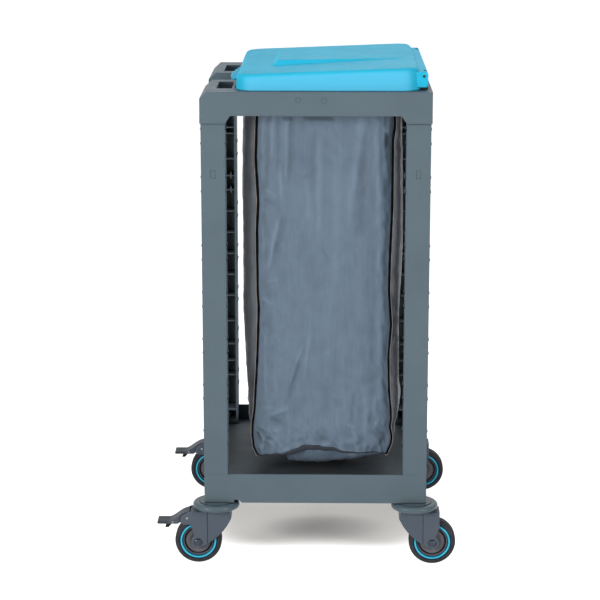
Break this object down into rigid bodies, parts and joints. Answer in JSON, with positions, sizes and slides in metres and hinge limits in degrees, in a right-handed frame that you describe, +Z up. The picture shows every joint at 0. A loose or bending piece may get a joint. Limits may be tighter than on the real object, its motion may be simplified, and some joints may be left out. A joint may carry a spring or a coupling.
{
  "type": "waste collection cart",
  "caption": "Wheeled waste collection cart: grey ladder uprights on a castor tray, a cloth bag hung in a top frame with a grip deck, and a hinged cyan lid with a lift tab.",
  "frame": {"origin": "on the ground, in the middle of the cart's box", "axes": "+Z up, +X towards the lid's hinge, +Y from the front face to the back"},
  "size_m": [0.6384, 0.598, 1.0634],
  "materials": {
    "frame_plastic": "fine grain",
    "lid_plastic": "satin",
    "bag_cloth": "coated nylon",
    "bumper_plastic": "satin",
    "castor_plastic": "satin",
    "hub_plastic": "satin",
    "ring_plastic": "gloss",
    "tyre_rubber": "matt rubber",
    "pedal_plastic": "satin",
    "steel": "zinc plated"
  },
  "bodies": {
    "frame": {"base_tray": "frame_plastic", "top_frame": "frame_plastic", "hinge_pins": "steel", "bag": "bag_cloth", "bag_hoop": "steel", "post_screws": "steel", "stem_nuts": "steel", "post_front_left": "frame_plastic", "bumper_front_left": "bumper_plastic", "castor_stem_front_left": "steel", "swivel_bearing_front_left": "steel", "post_front_right": "frame_plastic", "bumper_front_right": "bumper_plastic", "castor_stem_front_right": "steel", "swivel_bearing_front_right": "steel", "post_rear_left": "frame_plastic", "bumper_rear_left": "bumper_plastic", "castor_stem_rear_left": "steel", "swivel_bearing_rear_left": "steel", "post_rear_right": "frame_plastic", "bumper_rear_right": "bumper_plastic", "castor_stem_rear_right": "steel", "swivel_bearing_rear_right": "steel"},
    "lid": {"lid": "lid_plastic"},
    "castor_front_left": {"castor_fork_front_left": "castor_plastic", "wheel_axle_front_left": "steel", "brake_pin_front_left": "steel", "brake_spring_front_left": "steel"},
    "wheel_front_left": {"wheel_hub_front_left": "hub_plastic", "wheel_ring_front_left": "ring_plastic", "tyre_front_left": "tyre_rubber", "wheel_bearings_front_left": "steel"},
    "pedal_front_left": {"brake_pedal_front_left": "pedal_plastic", "toe_pin_front_left": "steel"},
    "castor_front_right": {"castor_fork_front_right": "castor_plastic", "wheel_axle_front_right": "steel"},
    "wheel_front_right": {"wheel_hub_front_right": "hub_plastic", "wheel_ring_front_right": "ring_plastic", "tyre_front_right": "tyre_rubber", "wheel_bearings_front_right": "steel"},
    "castor_rear_left": {"castor_fork_rear_left": "castor_plastic", "wheel_axle_rear_left": "steel", "brake_pin_rear_left": "steel", "brake_spring_rear_left": "steel"},
    "wheel_rear_left": {"wheel_hub_rear_left": "hub_plastic", "wheel_ring_rear_left": "ring_plastic", "tyre_rear_left": "tyre_rubber", "wheel_bearings_rear_left": "steel"},
    "pedal_rear_left": {"brake_pedal_rear_left": "pedal_plastic", "toe_pin_rear_left": "steel"},
    "castor_rear_right": {"castor_fork_rear_right": "castor_plastic", "wheel_axle_rear_right": "steel"},
    "wheel_rear_right": {"wheel_hub_rear_right": "hub_plastic", "wheel_ring_rear_right": "ring_plastic", "tyre_rear_right": "tyre_rubber", "wheel_bearings_rear_right": "steel"}
  },
  "joints": [
    {"name": "lid_hinge", "type": "hinge", "parent": "frame", "child": "lid", "pos_m": [0.23975, 0, 1.045], "axis": [0, 1, 0], "range_deg": [0, 100]},
    {"name": "castor_swivel_front_left", "type": "hinge", "parent": "frame", "child": "castor_front_left", "pos_m": [-0.19325, -0.249, 0], "axis": [0, 0, 1], "continuous": true},
    {"name": "wheel_spin_front_left", "type": "hinge", "parent": "castor_front_left", "child": "wheel_front_left", "pos_m": [-0.23175, -0.249, 0.05], "axis": [0, 1, 0], "continuous": true},
    {"name": "brake_front_left", "type": "hinge", "parent": "castor_front_left", "child": "pedal_front_left", "pos_m": [-0.25475, -0.249, 0.103], "axis": [0, -1, 0], "range_deg": [0, 15]},
    {"name": "castor_swivel_front_right", "type": "hinge", "parent": "frame", "child": "castor_front_right", "pos_m": [0.23075, -0.249, 0], "axis": [0, 0, 1], "continuous": true},
    {"name": "wheel_spin_front_right", "type": "hinge", "parent": "castor_front_right", "child": "wheel_front_right", "pos_m": [0.26925, -0.249, 0.05], "axis": [0, 1, 0], "continuous": true},
    {"name": "castor_swivel_rear_left", "type": "hinge", "parent": "frame", "child": "castor_rear_left", "pos_m": [-0.19325, 0.249, 0], "axis": [0, 0, 1], "continuous": true},
    {"name": "wheel_spin_rear_left", "type": "hinge", "parent": "castor_rear_left", "child": "wheel_rear_left", "pos_m": [-0.23175, 0.249, 0.05], "axis": [0, 1, 0], "continuous": true},
    {"name": "brake_rear_left", "type": "hinge", "parent": "castor_rear_left", "child": "pedal_rear_left", "pos_m": [-0.25475, 0.249, 0.103], "axis": [0, -1, 0], "range_deg": [0, 15]},
    {"name": "castor_swivel_rear_right", "type": "hinge", "parent": "frame", "child": "castor_rear_right", "pos_m": [0.23075, 0.249, 0], "axis": [0, 0, 1], "continuous": true},
    {"name": "wheel_spin_rear_right", "type": "hinge", "parent": "castor_rear_right", "child": "wheel_rear_right", "pos_m": [0.26925, 0.249, 0.05], "axis": [0, 1, 0], "continuous": true}
  ]
}
